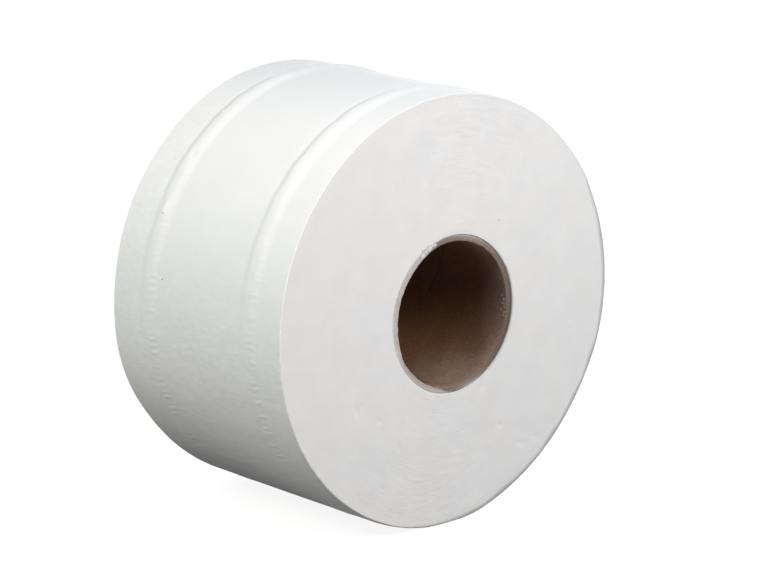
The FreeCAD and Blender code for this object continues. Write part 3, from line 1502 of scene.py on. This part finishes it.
@dataclass(frozen=True)
class KraftEdge:
    """The board's cut edge: pale plies, tissue dust on part of it, and painted shade on its right side next
    to the paper.
    """

    colour: tuple[float, float, float, float] = (0.235, 0.19, 0.155, 1.0)
    dust_colour: tuple[float, float, float, float] = (0.64, 0.6, 0.595, 1.0)
    # Painted shade colour for the cut edge's right side next to the paper
    glue_colour: tuple[float, float, float, float] = (0.13, 0.1, 0.08, 1.0)
    roughness: float = 0.95
    specular: float = 0.1
    plies: float = 6.0
    ply_depth: float = 0.15 * MM
    fibre_depth: float = 0.08 * MM

    def material(self, groups: NodeGroups) -> bpy.types.Material:
        """Makes the material.

        Args:
            groups: The shared node groups.

        Returns:
            The material.
        """
        surface = Surface("kraft_edge", self.roughness, self.specular)
        mottle = surface.group(
            groups.fibre_mottle,
            {
                "Colour": surface.chain.mix(surface.chain.mark("glue"), self.colour, self.glue_colour),
                "Tint": self.dust_colour,
                "Tint Share": surface.chain.mark("dust"),
                "Patch Scale": 160.0,
                "Fibre Scale": 1400.0,
                "Patch Contrast": 0.3,
                "Fibre Contrast": 0.4,
            },
        )
        surface.link(mottle.outputs["Colour"], surface.shader.inputs["Base Color"])
        count = surface.chain.math("MULTIPLY", surface.chain.mark("ply"), self.plies)
        uneven = {"Count": count, "Along Scale": 160.0, "Wander Scale": 200.0}
        lines = surface.group(groups.laid_lines, uneven)
        plies, fibres = lines.outputs["Height"], mottle.outputs["Height"]
        surface.bump([(plies, self.ply_depth), (fibres, self.fibre_depth)])
        return surface.material


@dataclass(frozen=True)
class Lamp:
    """A soft lamp that looks at the roll's middle.

    Attributes:
        name: What the lamp is for.
        place: Its place from the roll's middle, in metres.
        size: Its width.
        light: How brightly it lights a white card at the roll's middle that faces it, by colour.
    """

    name: str
    place: tuple[float, float, float]
    size: float
    light: tuple[float, float, float]

    def build(self, target: Vector) -> None:
        """Makes the lamp.

        Args:
            target: The point that it looks at.
        """
        data = bpy.data.lights.new(self.name, "AREA")
        data.shape = "DISK"
        data.size = self.size
        distance = Vector(self.place).length
        strongest = max(self.light)
        data.energy = strongest * math.pi**2 * distance**2
        data.color = [part / strongest for part in self.light]
        lamp = bpy.data.objects.new(self.name, data)
        lamp.location = target + Vector(self.place)
        lamp.rotation_euler = (-Vector(self.place)).to_track_quat("-Z", "Y").to_euler()
        lamp.visible_camera = False
        bpy.context.scene.collection.objects.link(lamp)


@dataclass
class Studio:
    """The floor, the light and the camera."""

    middle: Vector
    floor_radius: float = 6.0
    floor_glow: float = 0.9
    far_glow: float = 1.0
    glow_start: float = 0.4
    glow_end: float = 1.2
    floor_colour: tuple[float, float, float, float] = (0.2, 0.2, 0.2, 1.0)
    sky: tuple[float, float, float, float] = (0.12, 0.14, 0.16, 1.0)
    lamps: tuple[Lamp, ...] = (
        Lamp("left", (-0.65, 0.0, 0.45), 0.25, (0.539, 0.529, 0.443)),
        Lamp("front", (0.0, -0.65, 0.4), 0.25, (0.647, 0.565, 0.445)),
        Lamp("upper", (-0.45, -0.3, 0.6), 0.25, (0.099, 0.123, 0.215)),
        Lamp("right", (0.3, -0.55, 0.4), 0.25, (0.075, 0.132, 0.217)),
        Lamp("back", (0.75, 0.48, 0.12), 0.4, (0.66, 0.66, 0.66)),
    )
    azimuth: float = -41.7917
    elevation: float = 13.9528
    distance: float = 1.3359
    side_step: float = 9.32 * MM
    rise: float = 0.26 * MM
    lens: float = 151.14
    sensor: float = 36.0

    def seen_directly(self, chain: NodeChain) -> bpy.types.NodeSocket:
        """A mask that is 1 for what the camera sees, straight on, mirrored or through glass."""
        path = chain.node("ShaderNodeLightPath").outputs
        mirrored = chain.math("MAXIMUM", path["Is Glossy Ray"], path["Is Transmission Ray"])
        return chain.math("MAXIMUM", path["Is Camera Ray"], mirrored)

    def build_world(self) -> None:
        """Makes a sky that lights the roll softly and that looks white behind it."""
        world = bpy.data.worlds.new("studio")
        world.use_nodes = True
        chain = NodeChain(world.node_tree)
        lit = chain.node("ShaderNodeBackground", {"Color": self.sky, "Strength": 1.0})
        white = chain.node("ShaderNodeBackground", {"Color": (1.0, 1.0, 1.0, 1.0), "Strength": 1.0})
        seen = self.seen_directly(chain)
        both = chain.node("ShaderNodeMixShader", {0: seen, 1: lit.outputs[0], 2: white.outputs[0]})
        chain.node("ShaderNodeOutputWorld", {"Surface": both.outputs[0]})
        bpy.context.scene.world = world

    def build_floor(self) -> None:
        """Makes a round floor that looks white and still takes the roll's shadow."""
        mesh = bpy.data.meshes.new("floor")
        angle = np.linspace(0.0, WHOLE_TURN, 96, endpoint=False)
        corners = polar((self.middle.x, 0.0), self.floor_radius, angle, 0.0)[:, [0, 2, 1]]
        mesh.from_pydata(corners.tolist(), [], [list(range(len(corners)))])
        material = bpy.data.materials.new("floor")
        material.use_nodes = True
        chain = NodeChain(material.node_tree)
        paint = chain.node("ShaderNodeBsdfDiffuse", {"Color": self.floor_colour})
        place = chain.node("ShaderNodeTexCoord").outputs["Object"]
        away = chain.node("ShaderNodeVectorMath", {0: place}, operation="LENGTH").outputs["Value"]
        by_place = chain.node(
            "ShaderNodeMapRange",
            {
                "Value": away,
                "From Min": self.glow_start,
                "From Max": self.glow_end,
                "To Min": self.floor_glow,
                "To Max": self.far_glow,
            },
        ).outputs["Result"]
        glow_strength = chain.math("MULTIPLY", self.seen_directly(chain), by_place)
        glow = chain.node("ShaderNodeEmission", {"Strength": glow_strength})
        both = chain.node("ShaderNodeAddShader", {0: paint.outputs[0], 1: glow.outputs[0]})
        from_above = chain.node(
            "ShaderNodeMixShader",
            {
                0: chain.node("ShaderNodeNewGeometry").outputs["Backfacing"],
                1: both.outputs[0],
                2: chain.node("ShaderNodeBsdfTransparent").outputs[0],
            },
        )
        chain.node("ShaderNodeOutputMaterial", {"Surface": from_above.outputs[0]})
        mesh.materials.append(material)
        floor = bpy.data.objects.new("floor", mesh)
        bpy.context.scene.collection.objects.link(floor)

    def build_camera(self) -> None:
        """Makes the camera at the photograph's place, and makes it the scene's camera."""
        turn, tilt = math.radians(self.azimuth), math.radians(self.elevation)
        back = Vector((math.sin(turn) * math.cos(tilt), -math.cos(turn) * math.cos(tilt), math.sin(tilt)))
        right = Vector((math.cos(turn), math.sin(turn), 0.0))
        up = back.cross(right)
        data = bpy.data.cameras.new("camera")
        data.lens = self.lens
        data.sensor_width = self.sensor
        data.clip_start = 0.1
        data.clip_end = 2 * self.floor_radius
        camera = bpy.data.objects.new("camera", data)
        pose = Matrix((right, up, back)).transposed().to_4x4()
        pose.translation = self.middle + back * self.distance + right * self.side_step + up * self.rise
        camera.matrix_world = pose
        bpy.context.scene.collection.objects.link(camera)
        bpy.context.scene.camera = camera

    def build(self) -> None:
        """Makes the whole studio."""
        self.build_camera()
        self.build_world()
        self.build_floor()
        for lamp in self.lamps:
            lamp.build(self.middle)
        bpy.context.scene.view_settings.view_transform = "Standard"


def report(piece: bpy.types.Object) -> None:
    """Logs how large a piece's mesh is."""
    piece.data.calc_loop_triangles()
    log.info("%s: %d triangles", piece.name, len(piece.data.loop_triangles))


def main() -> None:
    """Builds the studio, then the roll and its core, and notes the size of both models."""
    logging.basicConfig(level=logging.INFO, format="%(name)s: %(message)s")
    half_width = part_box("paper_roll")[1].y
    core_low, core_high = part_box("cardboard_core")
    bore = next(mount for mount in frame["record"]["mounts"] if mount["name"] == "core_bore")
    core_centre = (bore["pos_m"][0], bore["pos_m"][2])
    core_radius = (core_high.x - core_low.x) / 2
    outline = Outline(ROLL_RADIUS)

    Studio(Vector((0.0, 0.0, outline.axis[1]))).build()
    groups = NodeGroups()

    roll = PaperRoll(outline, half_width, core_centre, core_radius)
    tissue = roll.build([TissueSheet().material(groups), TissueTurns().material(groups)])
    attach(tissue, "root")
    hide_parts("paper_roll")
    report(tissue)

    core = CardboardCore(core_centre, bore["dims"]["r_mm"] * MM, core_radius - CORE_FIT, half_width)
    tube = core.build([KraftFace().material(groups), KraftEdge().material(groups)])
    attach(tube, "root")
    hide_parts("cardboard_core")
    report(tube)


if __name__ == "__main__":
    main()
